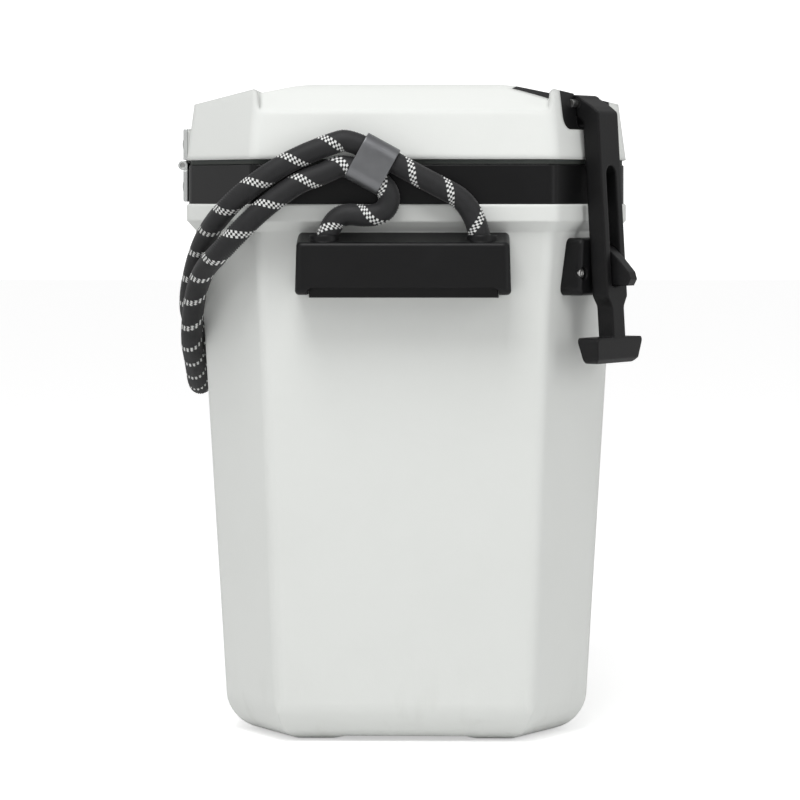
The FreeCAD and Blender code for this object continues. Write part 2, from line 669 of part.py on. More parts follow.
# ---------------------------------------------------------------- keeper
def keeper(outer):
    """The black hook plate on the tub's chamfer; the nose stands through the strap's window."""
    top, low = KEEPER_WIDTH_TOP / 2, KEEPER_WIDTH_LOW / 2
    back = -20.0
    face_view = [Vector(u, back, z) for u, z in (
        (-low, KEEPER_BOTTOM), (low, KEEPER_BOTTOM), (top, KEEPER_TOP), (-top, KEEPER_TOP))]
    plate = rounded_prism(face_view, [6.0, 6.0, 5.0, 5.0], Vector(0, KEEPER_FACE - back, 0))
    plate = filleted(plate, 2.5, lambda e: e.BoundBox.YMin > KEEPER_FACE - 0.01)
    reach = strap_face(NOSE_TIP_Z) + NOSE_REACH
    under = WINDOW_BOTTOM + NOSE_GAP
    nose = [(0.0, KEEPER_TOP - 3), (KEEPER_FACE, KEEPER_TOP - 3), (KEEPER_FACE + 9.5, KEEPER_TOP - 6.5),
            (KEEPER_FACE + 17.5, KEEPER_TOP - 14), (reach - 1.5, NOSE_TIP_Z + 5), (reach, NOSE_TIP_Z),
            (reach - 2.5, under), (0.0, under)]
    nose = block_u(NOSE_WIDTH, nose)
    solid = plate.fuse(nose)
    for u in (-KEEPER_SCREW_U, KEEPER_SCREW_U):
        seat = Vector(u, KEEPER_SEAT, KEEPER_SCREW_Z)
        solid = solid.cut(Part.makeCylinder(KEEPER_BORE_R, 20, seat, Vector(0, 1, 0)))
    return one(latch_place(solid.cut(keeper_screws())).cut(outer))


def keeper_screws():
    """Two screws in the keeper's counterbores, in the latch's own axes."""
    seats = [Vector(u, KEEPER_SEAT, KEEPER_SCREW_Z) for u in (-KEEPER_SCREW_U, KEEPER_SCREW_U)]
    return Part.makeCompound([round_screw(s, Vector(0, 1, 0), KEEPER_HEAD_R, 2.4, 12.0) for s in seats])


# ---------------------------------------------------------------- end handles
def wall_x(z):
    """X of the tub's end wall at height z, as a positive length."""
    return HALF_X - tub_inset(z)


def handle_bracket(outer):
    """The bracket at the -X end: sloping roof, front bar and two cheeks round the hand space."""
    wall = wall_x(HANDLE_TOP)
    front = wall + HANDLE_PROUD
    side = [(-wall + 6, HANDLE_TOP), (-wall, HANDLE_TOP), (-front, HANDLE_FRONT_TOP),
            (-front, CHEEK_BOTTOM), (-wall + 6, CHEEK_BOTTOM)]
    solid = prism_y(side, -HANDLE_WIDTH, HANDLE_WIDTH)
    top, low = HANDLE_WIDTH / 2, HANDLE_WIDTH / 2 + HANDLE_FLARE
    trapezoid = [Vector(-front - 5, y, z) for y, z in ((-low, CHEEK_BOTTOM), (low, CHEEK_BOTTOM),
                                                       (top, HANDLE_TOP + 1), (-top, HANDLE_TOP + 1))]
    solid = solid.common(rounded_prism(trapezoid, [3.0, 3.0, 5.0, 5.0], Vector(60, 0, 0)))
    solid = filleted(solid, HANDLE_R, lambda e: e.CenterOfMass.x < -front + 0.6 and climbs(e))
    solid = filleted(solid, HANDLE_EDGE_R, lambda e: e.CenterOfMass.x < -front + HANDLE_R
                     and e.CenterOfMass.z > HANDLE_FRONT_TOP - 6 and not climbs(e))
    inner = front - HANDLE_FRONT_WALL
    half = HANDLE_WIDTH / 2 - CHEEK_WIDTH
    ceiling = HANDLE_FRONT_TOP - HANDLE_ROOF
    space = [(-inner, CHEEK_BOTTOM - 5), (-inner, ceiling),
             (-wall + 7, HANDLE_TOP - HANDLE_ROOF + 2), (-wall + 7, CHEEK_BOTTOM - 5)]
    space = prism_y(space, -half, half)
    space = filleted(space, 6.0, lambda e: e.CenterOfMass.z > ceiling - 1
                     and abs(e.CenterOfMass.y) > half - 0.1)
    under = [Vector(-front - 5, y, z) for y, z in (
        (-half, CHEEK_BOTTOM - 5), (half, CHEEK_BOTTOM - 5),
        (half, HANDLE_FRONT_BOTTOM), (-half, HANDLE_FRONT_BOTTOM))]
    under = rounded_prism(under, [0.0, 0.0, 4.0, 4.0], Vector(40, 0, 0))
    solid = solid.cut(space).cut(under)
    for y in (-ROPE_HOLE_Y, ROPE_HOLE_Y):
        rim = Part.makeCylinder(ROPE_HOLE_R + 1.8, RIM_TOP - ceiling, Vector(-ROPE_X, y, ceiling))
        rim = filleted(rim, 1.0, lambda e: e.BoundBox.ZMin > RIM_TOP - 0.01)
        solid = solid.fuse(rim.cut(space))
        solid = solid.cut(Part.makeCylinder(ROPE_HOLE_R, 60, Vector(-ROPE_X, y, ceiling - 20)))
    return one(solid.cut(outer))


def handle_plate():
    """The plate behind the hand space, flat on the drafted end wall."""
    outline = [(-wall_x(PLATE_BOTTOM), PLATE_BOTTOM), (-wall_x(PLATE_BOTTOM) - PLATE_THICK, PLATE_BOTTOM),
               (-wall_x(PLATE_TOP) - PLATE_THICK, PLATE_TOP), (-wall_x(PLATE_TOP), PLATE_TOP)]
    half = HANDLE_WIDTH / 2 - CHEEK_WIDTH - PLATE_GAP
    return one(prism_y(outline, -half, half).cut(handle_screws()))


def handle_screws():
    """Three screws through the plate into the tub's end wall."""
    way = Vector(-math.cos(DRAFT), 0, -math.sin(DRAFT))
    face = -wall_x(HANDLE_SCREW_Z) - PLATE_THICK
    seats = [Vector(face, y, HANDLE_SCREW_Z) for y in HANDLE_SCREW_Y]
    return Part.makeCompound([round_screw(s, way, KEEPER_HEAD_R, 2.2, 6.0) for s in seats])


# ---------------------------------------------------------------- rope
def whole_route(half):
    """A strand's points from end to end: the half given and its mirror image."""
    return [Vector(*p) for p in half] + [Vector(-x, y, z) for x, y, z in reversed(half)]


def route_wire(points, name):
    """Straight runs joined by tangent arcs, with the radii printed."""
    edges, radii = [], []
    last = points[0]
    for before, corner, after in zip(points, points[1:], points[2:]):
        back, ahead = before - corner, after - corner
        reach = ARC_SHARE * min(back.Length, ahead.Length)
        back.normalize()
        ahead.normalize()
        half = back.getAngle(ahead) / 2
        radius = reach * math.tan(half)
        middle = (back + ahead).normalize() * (radius / math.sin(half) - radius)
        edges.append(Part.LineSegment(last, corner + back * reach).toShape())
        edges.append(Part.Arc(corner + back * reach, corner + middle, corner + ahead * reach).toShape())
        radii.append(radius)
        last = corner + ahead * reach
    edges.append(Part.LineSegment(last, points[-1]).toShape())
    wire = Part.Wire(edges)
    print(name, "length", round(wire.Length, 1), "radii", [round(r) for r in radii])
    return wire


def rope(half, name):
    """One strand's tube along its route."""
    wire = route_wire(whole_route(half), name)
    start = wire.Edges[0]
    way = start.tangentAt(start.FirstParameter)
    circle = Part.Wire(Part.makeCircle(ROPE_R, start.valueAt(start.FirstParameter), way))
    tube = wire.makePipeShell([circle], True, False)
    ideal = math.pi * ROPE_R ** 2 * wire.Length
    print(name, "volume over section times length", round(tube.Volume / ideal, 4))
    return tube


def knots():
    """The two stopper knots under a bracket's roof, as one compound, at the -X end."""
    found = []
    for half in (LOWER_STRAND, UPPER_STRAND):
        end = Vector(*half[0])
        knot = Part.makeCylinder(KNOT_R, KNOT_HIGH, end - Vector(0, 0, KNOT_HIGH))
        found.append(filleted(knot, 3.5, lambda e: e.Length > 10 and not climbs(e)))
    return Part.makeCompound(found)


def rope_clip():
    """The flattened metal sleeve that holds the two strands side by side, at the -X end."""
    def sleeve(radius, long):
        half = CLIP_PITCH / 2
        points = [Vector(-half - radius, 0, -radius), Vector(half + radius, 0, -radius),
                  Vector(half + radius, 0, radius), Vector(-half - radius, 0, radius)]
        body = rounded_prism(points, [radius * 0.999] * 4, Vector(0, long, 0))
        body.translate(Vector(0, -long / 2, 0))
        return body

    outer = sleeve(ROPE_R + CLIP_GAP + CLIP_WALL, CLIP_LENGTH)
    outer = filleted(outer, 0.5, lambda e: e.BoundBox.YLength < 0.01)
    clip = outer.cut(sleeve(ROPE_R + CLIP_GAP, CLIP_LENGTH + 2))
    turn = math.radians(CLIP_TURN)
    long = Vector(0, math.cos(turn), math.sin(turn))
    across = Vector(0, -math.sin(turn), math.cos(turn))
    thick = across.cross(long)
    matrix = FreeCAD.Matrix(across.x, long.x, thick.x, CLIP_X, across.y, long.y, thick.y, CLIP_Y,
                            across.z, long.z, thick.z, CLIP_Z, 0, 0, 0, 1)
    return clip.transformed(matrix)


# ---------------------------------------------------------------- the whole chest
def build():
    """Every node's shape by name; the ropes and what is on them are already in the final frame."""
    tub, lid = tub_outer(), lid_outer()
    leaf_low, leaf_high = hinge_screws(0), hinge_screws(1)
    anchors = [latch_place(keeper_screws()), handle_screws()]
    anchors += [mirrored(a) for a in anchors]
    mount_anchor = latch_place(mount_screws())
    pair = {
        "latch_mount": latch_mount(lid), "latch_pin": latch_place(latch_pin()),
        "latch_bush": latch_place(latch_bush()), "latch_strap": latch_place(latch_strap()),
        "keeper": keeper(tub), "handle_bracket": handle_bracket(tub), "handle_plate": handle_plate(),
    }
    lid_anchors = [leaf_high, mount_anchor, mirrored(mount_anchor)]
    nodes = {
        "body_shell": one(body_shell(tub).cut(anchors)), "body_foam": one(body_foam().cut(anchors)),
        "body_liner": body_liner(), "collar": collar(leaf_low),
        "hinge_leaf_body": hinge_leaf(0), "hinge_leaf_lid": hinge_leaf(1), "hinge_pin": hinge_pin(),
        "hinge_screws_body": leaf_low, "hinge_screws_lid": leaf_high,
        "lid_shell": one(lid_shell(lid, leaf_high).cut(lid_anchors)), "lid_foam": lid_foam(),
        "lid_liner": lid_liner(), "lid_seal": lid_seal(),
        "keeper_screws": Part.makeCompound([anchors[0], anchors[2]]),
        "handle_screws": Part.makeCompound([anchors[1], anchors[3]]),
        "latch_mount_screws": Part.makeCompound([mount_anchor, mirrored(mount_anchor)]),
    }
    for name, shape in pair.items():
        nodes[name + "_left"] = shape
        nodes[name + "_right"] = mirrored(shape)
    return nodes


def on_ropes():
    """The ropes and the pieces on them, in the final frame."""
    clip, pair = rope_clip(), knots()
    return {
        "rope_lower": rope(LOWER_STRAND, "rope_lower"), "rope_upper": rope(UPPER_STRAND, "rope_upper"),
        "rope_clip_left": clip, "rope_clip_right": mirrored(clip),
        "rope_knots_left": pair, "rope_knots_right": mirrored(pair),
    }


def main():
    """Centres the chest over the origin and writes one file for each node."""
    nodes = build()
    box = Part.makeCompound(list(nodes.values())).optimalBoundingBox(False)
    middle = Vector(0, -(box.YMin + box.YMax) / 2, 0)
    for shape in nodes.values():
        shape.translate(middle)
    print("shift", round(middle.y, 3), "reach", round(box.YLength, 2))
    nodes.update(on_ropes())
    os.makedirs("parts", exist_ok=True)
    for name, shape in nodes.items():
        shape.exportStep(f"parts/{name}.step")


if __name__ == "__main__":
    main()
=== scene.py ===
# %% [markdown]
# # An insulated cooler chest
# A moulded polyethylene tub and lid with foam between their walls, a black collar where they
# meet, two rubber T-latches on the front corners, a bracket at each end and a shoulder rope of
# two strands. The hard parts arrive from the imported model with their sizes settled. What is
# made here is what a sweep or an extrusion can't say: the braid of the ropes, their melted
# ends, the screws' heads, and every finish.

# %% Load the frame
import json
import math
import bpy
import numpy as np
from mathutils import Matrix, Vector


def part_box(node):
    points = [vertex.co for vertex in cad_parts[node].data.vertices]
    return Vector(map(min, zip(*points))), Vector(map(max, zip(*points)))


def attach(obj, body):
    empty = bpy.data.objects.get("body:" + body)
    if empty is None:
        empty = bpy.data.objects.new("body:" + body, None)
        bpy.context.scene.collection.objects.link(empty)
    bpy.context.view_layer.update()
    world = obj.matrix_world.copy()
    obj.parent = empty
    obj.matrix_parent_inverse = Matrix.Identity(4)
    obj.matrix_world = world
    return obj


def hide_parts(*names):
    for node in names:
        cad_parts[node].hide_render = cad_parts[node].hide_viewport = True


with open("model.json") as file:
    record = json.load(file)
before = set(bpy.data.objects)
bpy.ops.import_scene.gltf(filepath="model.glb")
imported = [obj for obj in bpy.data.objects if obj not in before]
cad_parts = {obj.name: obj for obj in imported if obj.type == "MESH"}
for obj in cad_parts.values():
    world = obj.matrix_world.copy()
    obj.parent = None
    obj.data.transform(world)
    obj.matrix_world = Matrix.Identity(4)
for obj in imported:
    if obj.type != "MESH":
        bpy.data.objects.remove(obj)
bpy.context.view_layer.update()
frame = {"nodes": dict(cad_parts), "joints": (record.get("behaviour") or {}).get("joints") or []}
MM = 0.001
JOINTS = {joint["name"]: joint for joint in frame["joints"]}
LID_LOW, LID_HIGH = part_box("lid_shell")
END_X = -LID_LOW.x
MIDDLE_Y = (LID_LOW.y + LID_HIGH.y) / 2

# %% [markdown]
# ## The camera
# The chest is seen square on to its left end by a long lens, so its sides hardly converge. The
# lens stands level with the collar, 2.58 m away, so every edge near that height stays level as it
# recedes. It looks straight ahead and is shifted down instead of tilted, which keeps upright
# edges upright. A trace of yaw lets the front corner come nearer than the back one.

# %% Camera
CAMERA_AWAY = 2.58        # metres from the end face
CAMERA_HIGH = 0.382
CAMERA_YAW = math.radians(1.2)
LENS_MM = 168.9
LENS_SHIFT = -0.2575      # in picture widths: the collar stands this far above the middle
CAMERA_ASIDE = 0.0023     # from the lid's middle towards the hinge
AIM = Vector((-END_X, MIDDLE_Y + CAMERA_ASIDE, CAMERA_HIGH))

camera_data = bpy.data.cameras.new("camera")
camera_data.lens = LENS_MM
camera_data.shift_y = LENS_SHIFT
camera_data.clip_end = 60.0
camera = bpy.data.objects.new("camera", camera_data)
back = Vector((-math.cos(CAMERA_YAW), -math.sin(CAMERA_YAW), 0.0))
camera.location = AIM + back * CAMERA_AWAY
camera.rotation_euler = (AIM - camera.location).to_track_quat("-Z", "Y").to_euler()
bpy.context.scene.collection.objects.link(camera)
bpy.context.scene.camera = camera
print("camera at", tuple(round(x, 3) for x in camera.location))

# %% [markdown]
# ## A mesh from arrays
# Every new piece is a grid of points worked out at once with numpy. One helper turns points and
# faces into an object: it keeps the object at the origin, so that a pattern in object
# coordinates stays where it is, and shades it smooth.


# %% From arrays to an object
def piece(name, points, faces, materials=(), choice=None):
    """An object from point and face arrays; choice gives each face its place in materials."""
    mesh = bpy.data.meshes.new(name)
    mesh.from_pydata(points.tolist(), [], faces.tolist())
    mesh.polygons.foreach_set("use_smooth", np.ones(len(mesh.polygons), bool))
    for material in materials:
        mesh.materials.append(material)
    if choice is not None:
        mesh.polygons.foreach_set("material_index", choice.astype(np.int32))
    mesh.validate()
    mesh.update()
    obj = bpy.data.objects.new(name, mesh)
    bpy.context.scene.collection.objects.link(obj)
    return obj


def joined(parts):
    """Several (points, faces) pairs as one pair, each part's faces counted on from the last."""
    starts = np.cumsum([0] + [len(points) for points, _ in parts])
    points = np.concatenate([points for points, _ in parts])
    faces = np.concatenate([faces + start for (_, faces), start in zip(parts, starts)])
    return points, faces


# %% [markdown]
# ## Shader maths as plain expressions
# A finish is easier to read as a sum than as a wall of nodes. `Wire` stands for a socket that
# carries numbers, and arithmetic on it adds Math nodes. `Finish` owns a material: its `node`
# method makes any other node, settings first and sockets after, and `give` sets or links a
# socket of the shader.


# %% Wires and finishes
class Wire:
    """A socket that carries numbers; arithmetic on it adds Math nodes to its finish."""

    def __init__(self, finish, socket):
        self.finish = finish
        self.socket = socket

    def maths(self, operation, *values):
        return self.finish.node("ShaderNodeMath", {"operation": operation}, dict(enumerate(values)))

    def __add__(self, other):
        return self.maths("ADD", self, other)

    def __sub__(self, other):
        return self.maths("SUBTRACT", self, other)

    def __rsub__(self, other):
        return self.maths("SUBTRACT", other, self)

    def __mul__(self, other):
        return self.maths("MULTIPLY", self, other)

    __radd__ = __add__
    __rmul__ = __mul__

    def between(self, low, high):
        """0 below low, 1 above high and a smooth step between them."""
        settings = {"interpolation_type": "SMOOTHSTEP"}
        limits = {"Value": self, "From Min": low, "From Max": high}
        return self.finish.node("ShaderNodeMapRange", settings, limits)


class Finish:
    """A material under construction."""

    def __init__(self, name, **constants):
        self.material = bpy.data.materials.new(name)
        self.material.use_nodes = True
        self.nodes = self.material.node_tree.nodes
        self.links = self.material.node_tree.links
        self.shader = self.nodes["Principled BSDF"]
        for socket, value in constants.items():
            self.shader.inputs[socket.replace("_", " ")].default_value = value

    def node(self, kind, settings=None, inputs=None, output=0):
        """Any node: its settings are set first, then its sockets get values or links."""
        made = self.nodes.new(kind)
        for name, value in (settings or {}).items():
            setattr(made, name, value)
        for name, value in (inputs or {}).items():
            if isinstance(value, Wire):
                self.links.new(value.socket, made.inputs[name])
            else:
                made.inputs[name].default_value = value
        return Wire(self, made.outputs[output])

    def give(self, name, wire):
        """Links a wire to one of the shader's own sockets."""
        self.links.new(wire.socket, self.shader.inputs[name])

    def place(self, stretch=(1.0, 1.0, 1.0)):
        """Object coordinates, scaled per axis."""
        spot = self.node("ShaderNodeTexCoord", output="Object")
        return self.node("ShaderNodeMapping", {}, {"Vector": spot, "Scale": stretch})

    def noise(self, scale, detail=2.0, stretch=(1.0, 1.0, 1.0)):
        """Cloudy noise from 0 to 1, with scale in features a metre."""
        inputs = {"Vector": self.place(stretch), "Scale": scale, "Detail": detail}
        return self.node("ShaderNodeTexNoise", {}, inputs)

    def blend(self, share, first, second):
        """A colour between two, by a share from 0 to 1."""
        inputs = {"Factor": share, "A": first, "B": second}
        return self.node("ShaderNodeMix", {"data_type": "RGBA"}, inputs, output="Result")

    def relief(self, height, deep, edge=0.0):
        """Bumps deep metres high on the surface, over edges softened to a radius of edge."""
        inputs = {"Height": height, "Distance": deep}
        if edge:
            inputs["Normal"] = self.node("ShaderNodeBevel", {"samples": 6}, {"Radius": edge})
        self.give("Normal", self.node("ShaderNodeBump", {}, inputs))


def colour(red, green, blue):
    """A linear colour from 0 to 255 display values."""
    return tuple(((c / 255 + 0.055) / 1.055) ** 2.4 for c in (red, green, blue)) + (1.0,)


# %% [markdown]
# ## Moulded white skin
# Rotomoulded polyethylene isn't flat white. It is a little cool, its gloss comes and goes with
# the mould's texture, it has a fine pebble that breaks up reflections, and handling leaves the
# lowest edge slightly greyer. The pebble is two noises: a wide one for the orange peel and a
# close one for the grain. Soft edges come from a Bevel node, because the moulding has no sharp
# edge anywhere.


# %% White skin, liner and foam
def moulded_skin(name, clean, worn, gloss, grain, edge):
    """Pale moulded plastic: cloudy colour, scuffs near the ground, pebble and orange peel."""
    skin = Finish(name, Specular_IOR_Level=0.4)
    clouds = skin.noise(9.0, 4.0)
    fine = skin.noise(1400.0, 1.0)
    peel = skin.noise(160.0, 2.0)
    height = skin.node("ShaderNodeSeparateXYZ", {}, {"Vector": skin.place()}, output="Z")
    streaks = skin.noise(60.0, 5.0, (1.0, 1.0, 0.35)).between(0.52, 0.78)
    scuffs = (1.0 - height.between(0.0, 0.07)) * streaks
    wear = scuffs * 0.55 + clouds.between(0.45, 0.9) * 0.25
    skin.give("Base Color", skin.blend(wear, clean, worn))
    skin.give("Roughness", fine * 0.05 + clouds * 0.10 + (gloss - 0.07))
    skin.relief(fine * 0.35 + peel * 0.65, grain, edge)
    return skin.material


LID_WHITE = moulded_skin("white_lid", colour(224, 226, 223), colour(210, 212, 208),
                         gloss=0.44, grain=0.10 * MM, edge=6.0 * MM)
WHITE = moulded_skin("white_skin", colour(221, 223, 220), colour(207, 209, 205),
                     gloss=0.46, grain=0.10 * MM, edge=2.2 * MM)
LINER = moulded_skin("white_liner", colour(226, 228, 226), colour(214, 216, 213),
                     gloss=0.36, grain=0.05 * MM, edge=1.5 * MM)
FOAM = moulded_skin("foam", colour(232, 222, 186), colour(214, 200, 160),
                    gloss=0.85, grain=0.4 * MM, edge=1.0 * MM)
print("white finishes made")

# %% [markdown]
# ## Black plastic and rubber
# The inserts and the collar are satin injection mouldings with a spark-eroded grain, so their
# highlights are broad and slightly mottled. The latch straps are rubber: rougher, with a bloom
# of pale dust in patches. Both are the same recipe with other numbers, so one function makes
# them all.


# %% Black mouldings
def dark_moulding(name, base, dusty, gloss, grain_scale, grain, edge, specular):
    """Dark satin plastic or rubber: mottled gloss, a little dust and an eroded grain."""
    dark = Finish(name, Specular_IOR_Level=specular)
    patches = dark.noise(26.0, 5.0)
    fine = dark.noise(grain_scale, 2.0)
    dust = patches.between(0.50, 0.85) * 0.6 + fine.between(0.55, 0.8) * 0.12
    dark.give("Base Color", dark.blend(dust, base, dusty))
    dark.give("Roughness", patches * 0.12 + fine * 0.08 + (gloss - 0.10))
    dark.relief(fine, grain, edge)
    return dark.material


INSERT = dark_moulding("black_insert", colour(13, 13, 14), colour(22, 22, 23), gloss=0.42,
                       grain_scale=1500.0, grain=0.07 * MM, edge=1.6 * MM, specular=0.25)
COLLAR = dark_moulding("black_collar", colour(9, 9, 10), colour(16, 16, 17), gloss=0.36,
                       grain_scale=1100.0, grain=0.04 * MM, edge=1.2 * MM, specular=0.25)
RUBBER = dark_moulding("latch_rubber", colour(13, 13, 14), colour(24, 24, 24), gloss=0.48,
                       grain_scale=900.0, grain=0.08 * MM, edge=2.4 * MM, specular=0.25)
GASKET = dark_moulding("gasket", colour(58, 62, 59), colour(80, 83, 80), gloss=0.60,
                       grain_scale=700.0, grain=0.05 * MM, edge=0.8 * MM, specular=0.3)
print("dark finishes made")

# %% [markdown]
# ## Metal
# The clip is dark anodised aluminium, brushed across the ropes, and the hinge is the same metal
# left pale and blasted. Brushing is noise squeezed along one direction, up to twentyfold: it
# moves the roughness and lays shallow scratches. The screws are plain steel.


# %% Metals
def worked_metal(name, base, edge_tone, gloss, stretch, scratch, edge, metallic=1.0):
    """Metal whose gloss and relief follow noise stretched along its brushing."""
    metal = Finish(name, Metallic=metallic)
    brushed = metal.noise(420.0, 3.0, stretch)
    smudges = metal.noise(40.0, 3.0)
    metal.give("Base Color", metal.blend(brushed * 0.6 + smudges * 0.4, base, edge_tone))
    metal.give("Roughness", brushed * 0.16 + smudges * 0.10 + (gloss - 0.13))
    metal.relief(brushed, scratch, edge)
    return metal.material


CLIP = worked_metal("clip_metal", colour(112, 113, 115), colour(138, 139, 141), gloss=0.40,
                    stretch=(6.0, 0.3, 0.3), scratch=0.03 * MM, edge=0.9 * MM)
HINGE = worked_metal("hinge_metal", colour(196, 198, 197), colour(214, 216, 215), gloss=0.44,
                     stretch=(0.4, 1.0, 1.0), scratch=0.02 * MM, edge=0.7 * MM, metallic=0.75)
STEEL = worked_metal("screw_steel", colour(170, 170, 168), colour(196, 196, 194), gloss=0.30,
                     stretch=(1.0, 1.0, 1.0), scratch=0.01 * MM, edge=0.3 * MM)
print("metal finishes made")

# %% [markdown]
# ## Yarn
# A braided rope's colour sits in its yarns: nearly black polyester with a faint sheen, and a few
# bright tracer yarns. The fibres run along each strand, too fine to model, so a close noise
# gives them as relief.


# %% Yarns
def yarn(name, deep, light, rough):
    """Fibre: colour mottled at the size of filaments, soft sheen and a fibrous relief."""
    fibre = Finish(name, Specular_IOR_Level=0.4, Sheen_Weight=0.12, Sheen_Roughness=0.5)
    filaments = fibre.noise(3200.0, 3.0)
    tone = fibre.noise(220.0, 2.0)
    fibre.give("Base Color", fibre.blend(filaments * 0.6 + tone * 0.4, deep, light))
    fibre.give("Roughness", filaments * 0.2 + (rough - 0.1))
    fibre.relief(filaments, 0.12 * MM)
    return fibre.material


YARN = yarn("rope_black", colour(6, 6, 7), colour(40, 40, 42), 0.6)
TRACER = yarn("rope_tracer", colour(205, 206, 204), colour(246, 247, 245), 0.6)
print("yarns made")

# %% [markdown]
# ## The shoulder rope's two strands
# Each strand leaves a hole in the left bracket's roof, runs through the clip, goes round the
# back corner, hangs behind the chest and comes back the same way at the other end. The routes
# are short lists of given control points. A NURBS spline of order 3 turns them into one
# smooth line, because a limp rope has no straight runs joined by arcs.

# %% Routes
LOWER_STRAND = [
    (-228.6, 55.6, 333.0), (-228.6, 55.6, 370.5), (-231.9, 14.6, 365.0), (-231.9, 8.6, 386.0),
    (-231.9, 40.8, 403.6), (-231.9, 56.5, 395.6), (-231.9, 74.4, 389.7), (-231.9, 101.0, 369.5),
    (-225.0, 125.1, 344.9), (-181.3, 146.0, 324.8), (-131.9, 155.2, 282.0), (-80.0, 155.4, 260.5),
    (-27.0, 157.0, 240.6),
]
UPPER_STRAND = [
    (-228.6, -52.4, 333.0), (-228.6, -52.4, 372.0), (-231.9, -10.8, 393.5), (-231.9, 37.5, 420.0),
    (-231.9, 50.5, 416.6), (-231.9, 77.4, 405.7), (-231.9, 99.6, 392.0), (-225.1, 124.2, 372.1),
    (-177.2, 144.5, 347.1), (-132.4, 156.8, 306.0), (-80.0, 155.8, 286.0), (-27.0, 156.2, 267.4),
]


def smooth_route(name, half):
    """The points of a strand's NURBS spline from end to end, in metres: a half and its mirror image."""
    controls = np.array(half + [(-x, y, z) for x, y, z in reversed(half)]) * MM
    curve = bpy.data.curves.new(name + "_route", "CURVE")
    curve.dimensions = "3D"
    curve.resolution_u = 24
    spline = curve.splines.new("NURBS")
    spline.points.add(len(controls) - 1)
    spline.points.foreach_set("co", np.column_stack([controls, np.ones(len(controls))]).ravel())
    spline.order_u = 3
    spline.use_endpoint_u = True
    holder = bpy.data.objects.new(name + "_route", curve)
    line = bpy.data.meshes.new_from_object(holder)
    points = np.empty(len(line.vertices) * 3)
    line.vertices.foreach_get("co", points)
    bpy.data.objects.remove(holder)
    bpy.data.curves.remove(curve)
    bpy.data.meshes.remove(line)
    return points.reshape(-1, 3)


def evenly(route, step):
    """The same route at equal distances of about step, and its length."""
    runs = np.linalg.norm(np.diff(route, axis=0), axis=1)
    far = np.concatenate([[0.0], np.cumsum(runs)])
    count = int(round(far[-1] / step)) + 1
    marks = np.linspace(0.0, far[-1], count)
    return np.column_stack([np.interp(marks, far, route[:, axis]) for axis in range(3)]), far[-1]


ROUTES = {"rope_lower": smooth_route("rope_lower", LOWER_STRAND),
          "rope_upper": smooth_route("rope_upper", UPPER_STRAND)}
print({name: len(route) for name, route in ROUTES.items()})

# %% [markdown]
# ## The braid
# The sheath is two families of yarn that wind round the core in opposite directions and pass
# over and under each other. Where they cross, the surface is a field of small diamonds. If the
# rings of the tube stand half a diamond apart, with two points to each yarn, every point is
# either the top of a diamond or a corner where four of them meet. So the relief needs just two
# radii, and each triangle belongs to exactly one diamond. Colouring whole diamonds gives the
# tracer: the ones where three neighbouring yarns of one family lie on top.

# %% Braid sizes
ROPE_WIDE = 15.5 * MM
YARNS = 15                # in each direction
LEAD = 29.5 * MM          # one turn of a yarn round the rope
TRACERS = 3
GROOVE = 0.8 * MM


def carried(tangents):
    """A unit normal for each tangent, each one the last with its part along the rope taken away."""
    normals = np.empty_like(tangents)
    normal = np.cross(tangents[0], (0.3, 0.9, 0.2))
    for i, tangent in enumerate(tangents):
        normal = normal - tangent * normal.dot(tangent)
        normal = normal / np.linalg.norm(normal)
        normals[i] = normal
    return normals


def tube(path, radii):
    """Points round a path: centre + radius x (cos a x normal + sin a x second normal)."""
    tangents = np.gradient(path, axis=0)
    tangents = tangents / np.linalg.norm(tangents, axis=1, keepdims=True)
    normals = carried(tangents)
    seconds = np.cross(tangents, normals)
    turn = np.linspace(0.0, 2 * math.pi, radii.shape[1], endpoint=False)
    around = (np.cos(turn)[None, :, None] * normals[:, None]
              + np.sin(turn)[None, :, None] * seconds[:, None])
    return path[:, None] + around * radii[:, :, None]


def diamonds(rings, start=0):
    """Triangles between rings of 2 x YARNS points, cut from corner to corner of the diamonds.

    The first array is the triangles, the second is 1 for a tracer's diamond and 0 for the rest.
    """
    wide = 2 * YARNS
    i, j = np.meshgrid(np.arange(rings - 1), np.arange(wide), indexing="ij")
    after = (j + 1) % wide
    a, b, c, d = i * wide + j, (i + 1) * wide + j, (i + 1) * wide + after, i * wide + after
    top_first = (i + j) % 2 == 1
    first = np.where(top_first[..., None], np.stack([a, d, b], -1), np.stack([a, d, c], -1))
    second = np.where(top_first[..., None], np.stack([b, d, c], -1), np.stack([a, c, b], -1))
    first_i, first_j = i, j + ~top_first
    second_i, second_j = i + 1, j + top_first
    tracer = [marked(u + start, v) for u, v in ((first_i, first_j), (second_i, second_j))]
    triangles = np.concatenate([first.reshape(-1, 3), second.reshape(-1, 3)])
    return triangles, np.concatenate([marks.ravel() for marks in tracer])


def marked(i, j):
    """Whether the diamond whose top is point j of ring i shows a tracer yarn.

    Counting yarns of one family by (i + j) / 2 and of the other by (j - i) / 2, a yarn of the
    second family is on top where the two counts add up to an odd number.
    """
    one = (i + j) // 2
    other = (j - i) // 2
    on_top = (one + other) % 2 == 1
    return on_top & (other % YARNS < TRACERS)


def braided(path, swell, start=0):
    """A braided tube's points, faces and tracer marks, with swell the radius at each ring."""
    rings = np.arange(len(path))[:, None]
    corners = (rings + start + np.arange(2 * YARNS)[None, :]) % 2 == 0
    points = tube(path, swell[:, None] - GROOVE * corners)
    faces, tracer = diamonds(len(path), start)
    return points.reshape(-1, 3), faces, tracer


